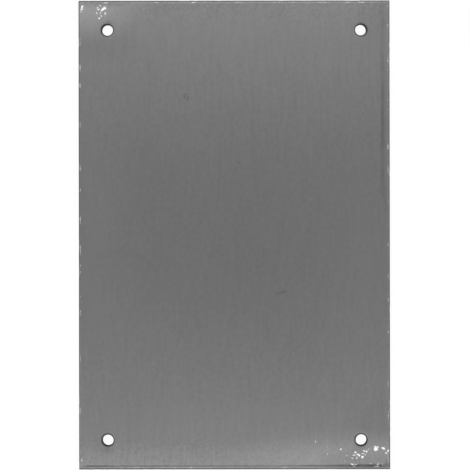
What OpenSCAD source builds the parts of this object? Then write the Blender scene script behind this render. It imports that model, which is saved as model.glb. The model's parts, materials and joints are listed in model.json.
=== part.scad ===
// Steel plate: one flat blank of plate steel, sheared to size, with a drilled hole near each corner.
// It lies face up on the XY plane, centred on Z, with its grain and its length along Y.
// The front edge, towards -Y, is the one that the shear rolled over the most.

/* [Plate] */
// Width across the grain
plate_width = 202.2; // [120:0.1:300]
// Length along the grain
plate_length = 304.8; // [180:0.1:450]
// Thickness of the stock
plate_thickness = 4.76; // [4:0.01:12]

/* [Fixing holes] */
// Diameter of each drilled hole
hole_diameter = 7.14; // [4:0.01:12]
// Distance from each hole's centre to the nearer side edge
hole_side_inset = 18.8; // [12:0.1:40]
// Distance from each hole's centre to the nearer end edge
hole_end_inset = 19.1; // [12:0.1:40]
// Width of the break at each hole's mouth, on both faces
hole_break = 0.55; // [0.1:0.05:1]

/* [Sheared edges] */
// Width of the roll-over along the front edge, on the upper face
front_roll_width = 2.2; // [1:0.1:4]
// Depth of the roll-over along the front edge
front_roll_depth = 0.4; // [0.1:0.05:0.8]
// Width of the roll-over along the other three edges, on the upper face
edge_roll_width = 0.9; // [0.5:0.1:2]
// Depth of the roll-over along the other three edges
edge_roll_depth = 0.3; // [0.1:0.05:0.45]
// Height of the rough fracture below the smooth cut of every edge
fracture_height = 2.8; // [0.5:0.1:3]
// How far the fracture leans in under the plate
fracture_lean = 0.25; // [0.05:0.05:0.6]

/* [Sprung edge] */
// Width of the strip that dips along the right edge, from the back end on
dip_width = 4.6; // [2:0.1:10]
// Length of that strip, from the back end to where it ends at the edge
dip_length = 155; // [60:1:175]
// Length over which the strip narrows before it ends
dip_run_out = 38; // [10:1:50]
// How far the strip's outer edge dips
dip_depth = 0.12; // [0.05:0.01:0.2]

/* [Hidden] */
// Grey of the brushed steel
steel_grey = [0.47, 0.47, 0.47];
// Straight sides that a round shape is drawn with
round_sides = 128;
// Cutting shapes reach past the plate by this much
overcut = 1;
half_width = plate_width / 2;
half_length = plate_length / 2;
hole_x = half_width - hole_side_inset;
hole_y = half_length - hole_end_inset;

// Radius of an arc that leaves a flat face smoothly and falls by depth over width
function roll_radius(width, depth) = (width * width + depth * depth) / (2 * depth);

// What a roll-over takes off the upper corner of a section whose outermost point is at edge
module roll_off(edge, width, depth) {
    radius = roll_radius(width, depth);
    difference() {
        translate([edge - width, plate_thickness - depth])
            square([width + overcut, depth + overcut]);
        translate([edge - width, plate_thickness - radius])
            circle(r = radius, $fn = round_sides);
    }
}

// Section across a pair of sheared edges, span apart, with a roll-over of its own size on each
module sheared_section(span, near_width, near_depth, far_width, far_depth) {
    half = span / 2;
    foot = half - fracture_lean;
    difference() {
        polygon([
            [-foot, 0],
            [foot, 0],
            [half, fracture_height],
            [half, plate_thickness],
            [-half, plate_thickness],
            [-half, fracture_height]
        ]);
        roll_off(half, far_width, far_depth);
        mirror([1, 0])
            roll_off(half, near_width, near_depth);
    }
}

// The blank with all four of its edges sheared
module blank() {
    intersection() {
        translate([0, half_length + overcut, 0])
            rotate([90, 0, 0])
                linear_extrude(plate_length + 2 * overcut)
                    sheared_section(plate_width, edge_roll_width, edge_roll_depth,
                                    edge_roll_width, edge_roll_depth);
        translate([-half_width - overcut, 0, 0])
            rotate([90, 0, 90])
                linear_extrude(plate_width + 2 * overcut)
                    sheared_section(plate_length, front_roll_width, front_roll_depth,
                                    edge_roll_width, edge_roll_depth);
    }
}

// The break at a hole's mouth, on the upper face: a cone that widens upwards
module mouth_break() {
    radius = hole_diameter / 2;
    translate([0, 0, plate_thickness - hole_break])
        cylinder(r1 = radius, r2 = radius + hole_break + overcut, h = hole_break + overcut, $fn = round_sides);
}

// One drilled hole, with both of its mouths broken
module drilled_hole() {
    translate([0, 0, -overcut])
        cylinder(d = hole_diameter, h = plate_thickness + 2 * overcut, $fn = round_sides);
    mouth_break();
    translate([0, 0, plate_thickness])
        mirror([0, 0, 1])
            mouth_break();
}

// What lies above a slope that falls to the right of a line on the upper face
// The line starts at a point and leans to the left of the plate's length
module slope_cut(start, lean) {
    fall = atan(dip_depth / dip_width);
    translate([start.x, start.y, plate_thickness])
        rotate([0, 0, lean])
            rotate([0, fall, 0])
                translate([0, -plate_length, 0])
                    cube([plate_width, 2 * plate_length, plate_thickness]);
}

// What lies above the strip that dips along the right edge: it keeps level with the edge, then runs out to it
module dip_cut() {
    intersection() {
        slope_cut([half_width - dip_width, half_length], 0);
        slope_cut([half_width, half_length - dip_length], atan(dip_width / dip_run_out));
    }
}

module plate() {
    color(steel_grey)
        difference() {
            blank();
            for (x = [-hole_x, hole_x], y = [-hole_y, hole_y])
                translate([x, y, 0])
                    drilled_hole();
            dip_cut();
        }
}

plate();
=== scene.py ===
import json
import math
from collections import namedtuple

import bmesh
import bpy
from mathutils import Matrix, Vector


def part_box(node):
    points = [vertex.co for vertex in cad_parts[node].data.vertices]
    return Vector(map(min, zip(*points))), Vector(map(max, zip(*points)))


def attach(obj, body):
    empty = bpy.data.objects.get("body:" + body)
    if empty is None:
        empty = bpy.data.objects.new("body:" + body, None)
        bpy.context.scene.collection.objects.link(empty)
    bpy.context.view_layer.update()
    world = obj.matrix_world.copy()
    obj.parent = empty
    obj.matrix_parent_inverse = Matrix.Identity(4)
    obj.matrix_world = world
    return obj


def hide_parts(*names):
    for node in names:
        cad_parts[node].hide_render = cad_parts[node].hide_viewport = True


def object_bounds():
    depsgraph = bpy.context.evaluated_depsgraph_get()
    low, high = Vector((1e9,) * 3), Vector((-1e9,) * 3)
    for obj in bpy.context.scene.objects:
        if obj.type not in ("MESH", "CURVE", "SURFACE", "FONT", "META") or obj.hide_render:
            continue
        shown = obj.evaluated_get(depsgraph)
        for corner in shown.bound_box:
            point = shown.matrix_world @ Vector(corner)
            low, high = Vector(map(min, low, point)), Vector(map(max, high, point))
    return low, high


bl_info = {
    "name": "Steel plate",
    "version": (1, 0, 0),
    "blender": (4, 5, 0),
    "location": "3D View > Sidebar > Steel plate",
    "description": "Dresses a drilled steel plate with brushed faces, sheared edges, nicks and scuffs",
    "category": "Object",
}

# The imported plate, which is the fixed frame that everything here is fitted to
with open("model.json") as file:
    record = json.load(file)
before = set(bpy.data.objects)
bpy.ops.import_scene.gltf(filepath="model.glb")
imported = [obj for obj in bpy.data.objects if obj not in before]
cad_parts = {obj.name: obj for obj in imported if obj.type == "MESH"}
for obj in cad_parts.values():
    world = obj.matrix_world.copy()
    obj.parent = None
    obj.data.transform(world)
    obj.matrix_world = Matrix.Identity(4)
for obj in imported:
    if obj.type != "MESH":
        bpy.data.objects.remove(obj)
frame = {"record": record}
CAD_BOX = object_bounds()
PLATE_LOW, PLATE_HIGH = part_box("plate")
PLATE_SIZE = PLATE_HIGH - PLATE_LOW
MM = 0.001
MOUNTS = {mount["name"]: mount["dims"] for mount in frame["record"]["mounts"]}
HOLE_PATTERN = MOUNTS["fixing_holes"]
HOLE_WALL = MOUNTS["hole_front_left"]["length_mm"] * MM

# Finish zones of the plate's surface, stored on its faces
ZONES = ("upper_face", "under_face", "sheared_edge", "drilled_wall")

# The map that the surface is laid out on, which also gives the brushing its direction
MAP_NAME = "OFBake"

# One pale fleck, a bare scuff painted as bright as a glint: how far its middle lies from the side edge and
# from the end edge of its corner, its length, its width, how far it turns from the plate's width, and how
# bright it is. Lengths are in millimetres.
Fleck = namedtuple("Fleck", "side end long wide turn bright")

FLECKS_BACK_LEFT = (
    Fleck(2.4, 4.0, 2.4, 1.5, 80, 1.0),
    Fleck(2.0, 5.5, 2.0, 1.5, 20, 0.7),
    Fleck(1.8, 7.0, 1.8, 1.2, 90, 0.3),
    Fleck(16.2, 5.4, 4.4, 1.8, 42, 1.0),
    Fleck(16.9, 4.8, 2.5, 1.9, 20, 1.0),
    Fleck(14.1, 3.2, 1.8, 0.9, 0, 0.6),
    Fleck(12.4, 4.3, 1.7, 0.9, 80, 0.6),
    Fleck(13.0, 5.7, 1.5, 1.1, 10, 0.95),
    Fleck(11.7, 8.0, 1.4, 1.1, 60, 0.9),
    Fleck(14.1, 8.1, 1.6, 0.8, 65, 0.5),
    Fleck(17.4, 8.3, 1.6, 1.2, 60, 0.85),
    Fleck(14.8, 9.8, 1.6, 0.9, 110, 0.85),
    Fleck(13.5, 11.3, 1.8, 1.0, 90, 0.85),
    Fleck(17.6, 1.4, 5.0, 0.9, 6, 0.4),
    Fleck(16.8, 3.6, 4.0, 1.6, 20, 0.12),
)
FLECKS_FRONT_LEFT = (
    Fleck(1.7, 6.0, 3.2, 1.2, 90, 0.25),
)
FLECKS_FRONT_RIGHT = (
    Fleck(9.3, 13.1, 3.2, 2.8, 20, 1.0),
    Fleck(8.2, 14.3, 1.9, 1.5, 40, 0.8),
    Fleck(9.7, 14.4, 1.8, 1.4, 10, 0.7),
    Fleck(4.4, 13.5, 3.2, 1.4, 160, 1.0),
    Fleck(1.4, 12.0, 2.0, 1.2, 70, 0.8),
    Fleck(2.5, 10.6, 1.8, 1.3, 20, 0.55),
    Fleck(14.0, 13.0, 1.5, 0.8, 60, 0.25),
    Fleck(17.1, 11.9, 1.9, 1.5, 0, 0.65),
    Fleck(15.4, 11.4, 1.2, 1.2, 60, 1.0),
    Fleck(17.7, 10.2, 2.2, 0.8, 20, 0.8),
    Fleck(16.3, 9.6, 1.3, 0.8, 150, 0.55),
    Fleck(18.0, 7.9, 2.0, 1.4, 15, 0.9),
    Fleck(21.0, 9.7, 2.5, 1.1, 0, 0.9),
    Fleck(20.2, 8.9, 1.9, 1.3, 110, 1.0),
    Fleck(22.6, 10.9, 1.7, 1.2, 150, 1.0),
    Fleck(23.4, 9.0, 2.9, 0.9, 0, 0.6),
    Fleck(23.9, 10.0, 1.8, 0.7, 150, 0.25),
    Fleck(21.7, 7.4, 1.7, 1.5, 160, 0.55),
    Fleck(24.5, 7.1, 1.6, 1.1, 150, 0.55),
    Fleck(28.1, 8.9, 1.3, 1.0, 120, 0.45),
    Fleck(32.1, 13.0, 1.3, 1.0, 80, 1.0),
    Fleck(29.5, 5.2, 1.5, 0.6, 90, 0.2),
    Fleck(24.4, 3.1, 2.7, 1.0, 0, 0.7),
    Fleck(22.2, 3.1, 1.7, 0.8, 5, 0.6),
    Fleck(23.5, 1.9, 2.3, 0.7, 0, 0.35),
    Fleck(12.7, 3.6, 1.7, 0.8, 0, 0.3),
    Fleck(8.0, 3.3, 2.1, 1.0, 25, 0.7),
    Fleck(8.5, 1.9, 4.2, 0.8, 0, 0.3),
    Fleck(5.0, 3.0, 1.6, 0.9, 90, 0.3),
    Fleck(48.5, 17.9, 1.8, 0.9, 90, 0.65),
    Fleck(40.9, 14.7, 1.1, 0.7, 0, 0.3),
    Fleck(40.8, 9.9, 1.3, 0.8, 80, 0.4),
)

# One bright dash on an edge's roll-over, partly a bright scuff and partly a painted highlight: where its
# middle lies along the edge and its length, in millimetres, and how bright it is. The last one of each edge
# is a faint painted highlight along it.
Dash = namedtuple("Dash", "along long bright")

# Measured from the back end
DASHES_LEFT = (
    Dash(25.0, 2.4, 0.45),
    Dash(27.9, 2.4, 0.30),
    Dash(43.8, 5.2, 0.45),
    Dash(54.9, 4.0, 0.45),
    Dash(80.6, 4.6, 0.30),
    Dash(108.8, 4.4, 0.40),
    Dash(123.0, 2.6, 0.40),
    Dash(142.6, 5.4, 0.50),
    Dash(161.8, 7.4, 0.50),
    Dash(172.2, 2.0, 0.40),
    Dash(176.4, 1.5, 0.35),
    Dash(192.4, 1.2, 0.45),
    Dash(203.0, 4.2, 0.45),
    Dash(232.5, 6.0, 0.25),
    Dash(267.0, 6.0, 0.30),
    Dash(260.0, 160.0, 0.05),
)
DASHES_RIGHT = (
    Dash(16.2, 2.2, 0.45),
    Dash(38.5, 3.6, 0.45),
    Dash(45.0, 1.5, 0.35),
    Dash(64.6, 2.6, 0.25),
    Dash(70.8, 2.0, 0.25),
    Dash(95.2, 5.0, 0.45),
    Dash(110.0, 7.0, 0.40),
    Dash(130.0, 5.0, 0.15),
    Dash(158.8, 3.0, 0.35),
    Dash(179.2, 4.0, 0.30),
    Dash(194.6, 2.6, 0.45),
    Dash(215.8, 2.2, 0.35),
    Dash(249.5, 5.0, 0.25),
    Dash(270.0, 9.0, 0.30),
    Dash(3.5, 4.0, 0.14),
    Dash(150.0, 420.0, 0.06),
)
# Measured from the left
DASHES_BACK = (
    Dash(50.8, 4.8, 0.25),
    Dash(75.0, 4.0, 0.50),
    Dash(82.0, 2.2, 0.20),
    Dash(104.7, 7.4, 0.25),
    Dash(128.8, 8.5, 0.22),
    Dash(139.8, 11.0, 0.20),
    Dash(158.7, 12.4, 0.28),
    Dash(175.0, 6.0, 0.35),
    Dash(184.0, 7.2, 0.40),
    Dash(193.0, 7.0, 0.14),
    Dash(125.0, 300.0, 0.10),
)
DASHES_FRONT = (
    Dash(27.0, 1.5, 0.20),
    Dash(37.5, 4.6, 0.22),
    Dash(62.5, 2.0, 0.28),
    Dash(72.5, 4.0, 0.38),
    Dash(85.2, 1.5, 0.20),
    Dash(134.0, 5.0, 0.18),
    Dash(55.0, 90.0, 0.08),
)
# How far in from each edge its dashes lie, and how wide all dashes are
DASH_INSET_LEFT = 0.95 * MM
DASH_INSET_RIGHT = 1.1 * MM
DASH_INSET_END = 1.2 * MM
DASH_WIDTH = 0.75 * MM

# One dark mark: where its middle lies from the plate's middle, its length, its width, how far it turns from
# the plate's width, and how dark it is. Lengths are in millimetres.
Mark = namedtuple("Mark", "across along long wide turn dark")

# The three broad, faint marks just past three of the holes, about 81 mm across and 139 mm along from the
# middle, are painted shadow, and so is the last, a thin line along the back edge.
MARKS = (
    Mark(-32.4, 90.3, 4.2, 1.0, 95, 1.0),
    Mark(-30.3, 88.9, 3.6, 1.1, 70, 0.8),
    Mark(-30.8, 91.5, 3.2, 0.9, 0, 0.6),
    Mark(3.4, 47.1, 1.3, 1.1, 30, 0.9),
    Mark(31.4, -37.3, 4.2, 2.6, 20, 0.5),
    Mark(28.6, -38.2, 4.0, 1.4, 5, 0.36),
    Mark(-97.8, -150.5, 1.8, 0.8, 90, 0.9),
    Mark(-82.6, -139.6, 10.0, 5.5, 0, 0.34),
    Mark(81.0, -140.4, 9.5, 6.0, 0, 0.32),
    Mark(-81.6, 138.3, 7.0, 3.6, 0, 0.40),
    Mark(95.0, 146.2, 9.0, 3.4, 90, 0.3),
    Mark(95.6, 119.6, 5.0, 2.2, 90, 0.25),
    Mark(98.6, -148.0, 5.0, 1.4, 90, 0.8),
    Mark(98.8, -149.2, 5.0, 2.2, 0, 1.0),
    Mark(-80.4, 150.6, 3.0, 0.9, 0, 0.5),
)

# A patch of painted sheen, lighter where the face catches more light: its middle from the plate's middle and
# its reach across and along, in millimetres, and how far it goes towards bright steel. One of less than
# nothing is painted shade, duller than the rest.
Patch = namedtuple("Patch", "across along reach_across reach_along bright")

PATCHES = (
    Patch(-101, 152, 52, 29, 0.20),
    Patch(-88, 151.5, 26, 4.4, -0.15),
    Patch(75, -143, 95, 19, 0.10),
    Patch(80, -148, 36, 9, -0.095),
    Patch(-101, 0, 50, 120, 0.04),
    Patch(101, -30, 60, 110, 0.025),
    Patch(-66, -60, 40, 45, 0.02),
    Patch(0, 5, 70, 80, -0.01),
    Patch(92, -120, 28, 24, -0.035),
    Patch(93, 136, 22, 30, -0.035),
    Patch(-80, 122, 34, 14, -0.03),
)
# The strip along the front has painted sheen too: where it fades out and where it is full, and how far it
# goes
FRONT_SHEEN_REACH = 21 * MM
FRONT_SHEEN_FULL = 3 * MM
FRONT_SHEEN_BRIGHT = 0.08

# A ring of painted shade round a hole: which side and which end the hole is at, and how far off its centre,
# in millimetres, the ring lies
Ring = namedtuple("Ring", "side end across along")

RINGS = (
    Ring(-1, 1, -0.35, -0.20),
    Ring(1, 1, 0.45, -0.35),
    Ring(-1, -1, -0.35, 0.45),
    Ring(1, -1, -0.30, 0.10),
)

# The pressed line near the right edge runs level with it back from one place, and runs out to it at another.
# Both are measured along the plate from its middle.
SIDE_CREASE_LEVEL = 33 * MM
SIDE_CREASE_OUT = -2 * MM
# Half the width of each pressed line
FRONT_CREASE_HALF = 0.9 * MM
SIDE_CREASE_HALF = 1.4 * MM

# How often each pattern of the brushed faces repeats, in cycles per metre across, along and through the plate
FACE_LINES = (390, 330, 390)
FACE_STREAKS = (370, 60, 370)
FACE_HAIRLINES = (6000, 80, 6000)
FACE_BLOTCHES = (22, 16, 22)
END_MOTTLE = (700, 560, 700)
FRONT_SHADE_STEPS = (150, 150, 150)
SIDE_SHADE_WIDTHS = (30, 45, 30)
SIDE_SHADE_PATCHES = (30, 70, 30)
# How far each pattern changes the tone of the faces, up and down
LINE_TONE = 0.064
STREAK_TONE = 0.036
HAIRLINE_TONE = 0.025
BLOTCH_TONE = 0.012
MOTTLE_TONE = 0.17
# The lines are faint up to one distance from the plate's middle, and strong from another on
FAINT_REACH = 35 * MM
STRONG_REACH = 100 * MM
FAINT_LINES = 0.88
STRONG_LINES = 1.25

# Relief, in cycles per metre too: nicks along the upper arris and how they gather, the rough grain of the
# fracture, and the slow waves of the upper face
NICK_STEPS = (330, 330, 330)
NICK_CLUMPS = (45, 45, 45)
FRACTURE_GRAIN = (700, 700, 400)
FACE_WAVES = (16, 9, 9)
# How far from the arris the nicks reach, in the mesh and in colour
NICK_WIDTH = 1.2 * MM
WEAR_WIDTH = 1.1 * MM

# Mesh of the plate: half the side of the square round each hole, and how many faces it has along a side
HOLE_SQUARE = 7 * MM
HOLE_CELLS = 20
# How far from a hole's mouth each ring between its square and its mouth lies, as a share of the way
RING_SHARES = (0.8, 0.6, 0.42, 0.27, 0.15, 0.06, 0.0)
# Counts of faces across the roll-overs, and down the smooth cut, the fracture and a hole's wall
ROLL_STEPS = 7
FRONT_ROLL_STEPS = 10
LAND_STEPS = 4
FRACTURE_STEPS = 9
WALL_STEPS = 8
# Largest faces near the edges and on the open face
EDGE_STEP = 0.6 * MM
OPEN_STEP = 3.0 * MM
# Faces that meet at a sharper angle than this have a hard edge between them
SHARP_ANGLE = math.radians(24)

# Space between the parts of the surface on the map, as a share of the map
MAP_GAP = 0.004

# The photograph's frame, where the plate lies in it, in pixels, and how far the plate is turned in it
PHOTO_SIDE = 470
PLATE_LONG_PIXELS = 468.9
PLATE_MIDDLE_PIXEL = (234.34, 235.0)
PLATE_TURN_DEGREES = 0.09


def length_property(name, description, default):
    """A length that a user may change, in metres."""
    return bpy.props.FloatProperty(
        name=name, description=description, default=default, min=0.0, unit="LENGTH", precision=5
    )


def share_property(name, description, default):
    """A share from 0 to 1 that a user may change."""
    return bpy.props.FloatProperty(
        name=name, description=description, default=default, min=0.0, max=1.0, subtype="FACTOR"
    )


def colour_property(name, description, grey):
    """A plain grey that a user may change to any colour."""
    return bpy.props.FloatVectorProperty(
        name=name, description=description, default=(grey, grey, grey), min=0.0, max=1.0, subtype="COLOR"
    )


class PlateSizes(bpy.types.PropertyGroup):
    """Sizes of the plate. Those that the frame states come from it."""

    width: length_property("Width", "Width across the grain", PLATE_SIZE.x)
    length: length_property("Length", "Length along the grain", PLATE_SIZE.y)
    thickness: length_property("Thickness", "Thickness of the stock", PLATE_SIZE.z)
    hole_across: length_property(
        "Hole spacing across", "Between hole centres, across", HOLE_PATTERN["spacing_x_mm"] * MM
    )
    hole_along: length_property(
        "Hole spacing along", "Between hole centres, along", HOLE_PATTERN["spacing_y_mm"] * MM
    )
    hole_radius: length_property("Hole radius", "Radius of each drilled hole", HOLE_PATTERN["hole_r_mm"] * MM)
    hole_break: length_property(
        "Mouth break", "Width of the break at each hole's mouth", (PLATE_SIZE.z - HOLE_WALL) / 2
    )
    front_roll_width: length_property("Front roll-over width", "Along the front edge", 2.2 * MM)
    front_roll_depth: length_property("Front roll-over depth", "Along the front edge", 0.4 * MM)
    edge_roll_width: length_property("Roll-over width", "Along the other three edges", 0.9 * MM)
    edge_roll_depth: length_property("Roll-over depth", "Along the other three edges", 0.3 * MM)
    fracture_height: length_property("Fracture height", "Height of the rough part of every edge", 2.8 * MM)
    fracture_lean: length_property("Fracture lean", "How far the rough part leans in", 0.25 * MM)
    dip_width: length_property("Dip width", "Width of the strip that dips along the right edge", 4.6 * MM)
    dip_length: length_property("Dip length", "Length of the dipping strip from the back end", 155 * MM)
    dip_run_out: length_property("Dip run-out", "Length over which the strip narrows", 38 * MM)
    dip_depth: length_property("Dip depth", "How far the strip's outer edge dips", 0.12 * MM)


class PlateFinish(bpy.types.PropertyGroup):
    """Colours and wear of the plate."""

    steel: colour_property("Brushed steel", "Colour of the dull brushed faces", 0.165)
    # Also the colour that the painted sheen goes towards
    bright: colour_property("Bright steel", "Colour of nicks and rubbed corners", 0.5)
    # Near white: bare scuffs, painted as bright as glints
    fleck: colour_property("Flecks", "Colour of the pale scuffs", 0.95)
    # Colour of the dark marks, and of the painted shade in the creases, round the holes and along the outline
    grime_and_shade: colour_property("Grime", "Colour in the creases and of the dark marks", 0.07)
    fracture: colour_property("Fracture", "Colour of the rough part of the edges", 0.12)
    # Near black: painted shade inside the holes
    drilled: colour_property("Drilled wall", "Colour inside the holes", 0.02)
    roughness: share_property("Roughness", "Roughness of the brushed faces", 0.40)
    brushing: share_property("Brushing", "How far the brushing stretches reflections across the grain", 0.8)
    nick_depth: length_property("Nick depth", "Deepest nick on the upper arris", 0.12 * MM)
    fracture_depth: length_property("Fracture roughness", "Depth of the rough part's grain", 0.10 * MM)
    wave_depth: length_property("Wave depth", "Depth of the faces' slow waves", 0.012 * MM)
    fleck_depth: length_property("Fleck depth", "Depth of the dent at each fleck", 0.05 * MM)
    crease_depth: length_property("Crease depth", "Depth of the pressed lines near two edges", 0.05 * MM)
    dish_width: length_property("Dish width", "Width of the face drawn down round each hole", 1.5 * MM)
    dish_depth: length_property("Dish depth", "How far it is drawn down", 0.06 * MM)
    front_crease: length_property("Front crease", "From the front edge to its pressed line", 2.35 * MM)
    side_crease: length_property("Side crease", "From the right edge to its pressed line", 4.6 * MM)
    seed: bpy.props.IntProperty(name="Seed", description="Which nicks and waves are drawn", default=7)


class PlateStage(bpy.types.PropertyGroup):
    """Camera, lamps and floor."""

    camera_height: length_property("Camera height", "Above the upper face", 1.05)
    floor_size: length_property("Floor size", "Length of the floor's sides", 40.0)
    floor_glow: share_property("Floor glow", "Share of the floor that shows as plain white", 0.93)
    zenith_light: share_property("Overhead light", "Light from straight above", 0.962)
    horizon_light: share_property("Side light", "Light from the level", 0.25)
    lamp_power: bpy.props.FloatProperty(
        name="Lamp power", description="Power of each soft box", default=1.53, unit="POWER"
    )
    lamp_height: length_property("Lamp height", "Height of both soft boxes", 0.785)
    lamp_spread: length_property("Lamp spread", "From the plate's middle to each soft box, in plan", 0.386)
    lamp_length: length_property("Lamp length", "Length of each soft box, across the plate", 1.3)
    lamp_width: length_property("Lamp width", "Width of each soft box", 0.39)


def set_inputs(tree, node, inputs):
    """Set a node's inputs, given by name or number, to values or to other nodes' outputs."""
    for key, value in inputs.items():
        if isinstance(value, bpy.types.NodeSocket):
            tree.links.new(value, node.inputs[key])
        else:
            node.inputs[key].default_value = value


def add_node(tree, kind, inputs=None, **settings):
    """Add a node with its settings and its inputs."""
    node = tree.nodes.new(kind)
    for name, value in settings.items():
        setattr(node, name, value)
    set_inputs(tree, node, inputs or {})
    return node


def calculate(tree, operation, first, *others):
    """One sum on numbers, such as ABSOLUTE or ADD. Numbers past the second are taken in turn."""
    if not others:
        return add_node(tree, "ShaderNodeMath", {0: first}, operation=operation).outputs[0]
    for other in others:
        first = add_node(tree, "ShaderNodeMath", {0: first, 1: other}, operation=operation).outputs[0]
    return first


def combine(tree, operation, *vectors):
    """One sum on vectors, such as ADD, or LENGTH and DOT_PRODUCT, which give a number."""
    node = add_node(tree, "ShaderNodeVectorMath", dict(enumerate(vectors)), operation=operation)
    return node.outputs["Value" if operation in ("LENGTH", "DOT_PRODUCT") else "Vector"]


def scaled(tree, vector, scale):
    """A vector, or a colour, times a number."""
    node = add_node(tree, "ShaderNodeVectorMath", {0: vector, "Scale": scale}, operation="SCALE")
    return node.outputs["Vector"]


def oval_reach(tree, plan, size, shift):
    """How far a place lies from an oval's middle, once each of its parts is scaled by size and shifted."""
    return combine(tree, "LENGTH", combine(tree, "MULTIPLY_ADD", plan, size, shift))


def split(tree, vector):
    """The three parts of a vector."""
    return add_node(tree, "ShaderNodeSeparateXYZ", {"Vector": vector}).outputs


def ramp(tree, value, start, stop, low=0.0, high=1.0):
    """A smooth change from low to high as value goes from start to stop."""
    inputs = {"Value": value, "From Min": start, "From Max": stop, "To Min": low, "To Max": high}
    return add_node(tree, "ShaderNodeMapRange", inputs, interpolation_type="SMOOTHSTEP").outputs["Result"]


def noise(tree, position, frequency, seed=0.0, detail=2.0, roughness=0.5):
    """Smooth noise from 0 to 1, with a frequency in cycles per metre along each axis."""
    inputs = {
        "Vector": combine(tree, "MULTIPLY", position, frequency),
        "W": seed,
        "Scale": 1.0,
        "Detail": detail,
        "Roughness": roughness,
    }
    return add_node(tree, "ShaderNodeTexNoise", inputs, noise_dimensions="4D").outputs["Fac"]


def spread(tree, pattern, low, high, reach=0.3):
    """A noise stretched so that it goes from low to high within reach of a half, its usual level."""
    return ramp(tree, pattern, 0.5 - reach, 0.5 + reach, low, high)


def mix_numbers(tree, share, first, second):
    """A number between first and second."""
    return add_node(tree, "ShaderNodeMix", {0: share, 2: first, 3: second}, data_type="FLOAT").outputs[0]


def mix_colours(tree, share, first, second, beyond=False):
    """A colour between first and second, or beyond first where the share may be less than nothing."""
    inputs = {0: share, 6: first, 7: second}
    return add_node(tree, "ShaderNodeMix", inputs, data_type="RGBA", clamp_factor=not beyond).outputs[2]


NUMBER = "NodeSocketFloat"
VECTOR = "NodeSocketVector"
SHAPE = "NodeSocketGeometry"


def new_group(name, kind, inputs, outputs):
    """A node group with named inputs and outputs, and its two end nodes."""
    tree = bpy.data.node_groups.new(name, kind)
    for label, socket, default in inputs:
        made = tree.interface.new_socket(name=label, in_out="INPUT", socket_type=socket)
        if default is not None:
            made.default_value = default
    for label, socket in outputs:
        tree.interface.new_socket(name=label, in_out="OUTPUT", socket_type=socket)
    return tree, tree.nodes.new("NodeGroupInput").outputs, tree.nodes.new("NodeGroupOutput")


def outline_distance(tree, position, sizes):
    """How far a point lies in from the plate's nearest side or end edge, in plan."""
    x, y, _ = split(tree, position)
    from_side = calculate(tree, "SUBTRACT", sizes.width / 2, calculate(tree, "ABSOLUTE", x))
    from_end = calculate(tree, "SUBTRACT", sizes.length / 2, calculate(tree, "ABSOLUTE", y))
    return calculate(tree, "MINIMUM", from_side, from_end)


def arris_nicks(tree, position, inset, sizes, width, seed):
    """Nicks within a width of the upper arris: short dashes along it, with long gaps between them."""
    clump_share = 0.8
    rare = 0.98
    full = 1.10
    below = calculate(tree, "SUBTRACT", sizes.thickness, split(tree, position)[2])
    in_band = calculate(tree, "MULTIPLY", ramp(tree, inset, width, 0.0), ramp(tree, below, width, 0.0))
    clumps = noise(tree, position, NICK_CLUMPS, seed, detail=1.0)
    dashes = noise(tree, position, NICK_STEPS, seed, detail=1.0)
    together = calculate(tree, "ADD", calculate(tree, "MULTIPLY", clumps, clump_share), dashes)
    return calculate(tree, "MULTIPLY", in_band, ramp(tree, together, rare, full))


def grain_group():
    """Brushed grain: fine lines and broader streaks that run along one axis."""
    tree, given, out = new_group(
        "Brushed grain",
        "ShaderNodeTree",
        (("Position", VECTOR, None), ("Fine", VECTOR, (0, 0, 0)), ("Broad", VECTOR, (0, 0, 0))),
        (("Lines", NUMBER), ("Streaks", NUMBER)),
    )
    lines = noise(tree, given["Position"], given["Fine"], seed=1.0, detail=2.0, roughness=0.55)
    streaks = noise(tree, given["Position"], given["Broad"], seed=2.0, detail=3.0, roughness=0.6)
    set_inputs(tree, out, {"Lines": lines, "Streaks": streaks})
    return tree


def arris_wear_and_shade_group(sizes, finish):
    """Bright wear along the plate's upper arris, and painted shade along its outline."""
    nick_bright = 0.35
    outline_shade_reach = 0.95 * MM
    outline_shade_full = 0.3 * MM
    outline_shade_dark = 0.5
    tree, given, out = new_group(
        "Arris wear and outline shade",
        "ShaderNodeTree",
        (("Position", VECTOR, None), ("Width", NUMBER, 0.001)),
        (("Mask", NUMBER), ("Outline shade", NUMBER)),
    )
    inset = outline_distance(tree, given["Position"], sizes)
    nicks = arris_nicks(tree, given["Position"], inset, sizes, given["Width"], float(finish.seed))
    set_inputs(tree, out, {
        "Mask": calculate(tree, "MULTIPLY", nicks, nick_bright),
        "Outline shade": ramp(tree, inset, outline_shade_reach, outline_shade_full, 0.0, outline_shade_dark),
    })
    return tree


# One soft oval spot, in metres: its place in plan, its length, width and turn in degrees, and its strength
Spot = namedtuple("Spot", "across along long wide turn strength")


def corner_flecks(sizes):
    """Every fleck as a spot."""
    corners = (
        (FLECKS_BACK_LEFT, -1, 1),
        (FLECKS_FRONT_LEFT, -1, -1),
        (FLECKS_FRONT_RIGHT, 1, -1),
    )
    spots = []
    for flecks, right, back in corners:
        for fleck in flecks:
            across = right * (sizes.width / 2 - fleck.side * MM)
            along = back * (sizes.length / 2 - fleck.end * MM)
            spots.append(Spot(across, along, fleck.long * MM, fleck.wide * MM, fleck.turn, fleck.bright))
    return spots


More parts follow.
